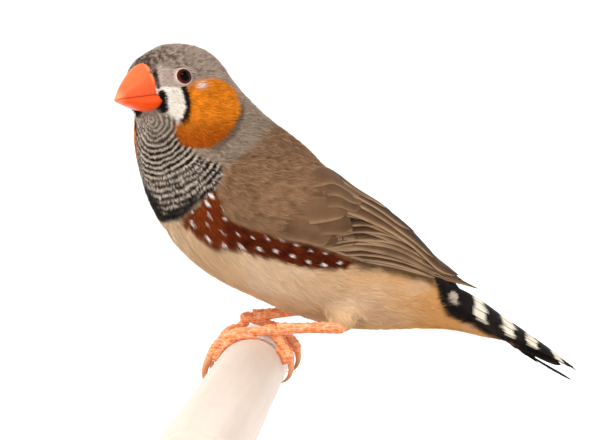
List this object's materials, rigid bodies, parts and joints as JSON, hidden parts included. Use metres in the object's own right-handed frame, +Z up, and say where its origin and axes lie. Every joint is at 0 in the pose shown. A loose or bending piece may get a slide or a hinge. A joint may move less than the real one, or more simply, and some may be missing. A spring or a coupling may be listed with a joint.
{
  "type": "zebra finch on a perch",
  "caption": "Life-size male zebra finch, head turned aside, gripping a cut length of round perch that a plain wooden display stand holds.",
  "frame": {"origin": "centre of the stand base's underside, on the surface that it rests on", "axes": "+Z up, +X from the bird's breast towards its tail, Y along the perch with -Y towards the side that the bird turns its face to"},
  "size_m": [0.1027, 0.132, 0.1085],
  "materials": {
    "plumage": "soft feathers, matt, in grey, brown, white, chestnut, orange and barred black",
    "bill_horn": "satin waxy orange-red horn",
    "eye_surface": "wet gloss, dark red-brown iris round a black pupil",
    "leg_skin": "orange scaled skin, satin",
    "claw_horn": "translucent pale horn, satin",
    "dowel_wood": "smooth pale cream dowel, satin",
    "stand_wood": "oiled dark wood, satin",
    "rod_metal": "brushed, satin"
  },
  "bodies": {
    "root": {"head": "plumage", "neck": "plumage", "trunk": "plumage", "wing_left": "plumage", "wing_right": "plumage", "tail": "plumage", "thigh_left": "plumage", "thigh_right": "plumage", "bill_upper": "bill_horn", "bill_lower": "bill_horn", "eye_left": "eye_surface", "eye_right": "eye_surface", "tarsus_left": "leg_skin", "tarsus_right": "leg_skin", "foot_left": "leg_skin", "foot_right": "leg_skin", "claw_inner_left": "claw_horn", "claw_middle_left": "claw_horn", "claw_outer_left": "claw_horn", "claw_hind_left": "claw_horn", "claw_inner_right": "claw_horn", "claw_middle_right": "claw_horn", "claw_outer_right": "claw_horn", "claw_hind_right": "claw_horn", "perch": "dowel_wood", "stand_base": "stand_wood", "stand_rod_front": "rod_metal", "stand_rod_back": "rod_metal"}
  },
  "joints": []
}
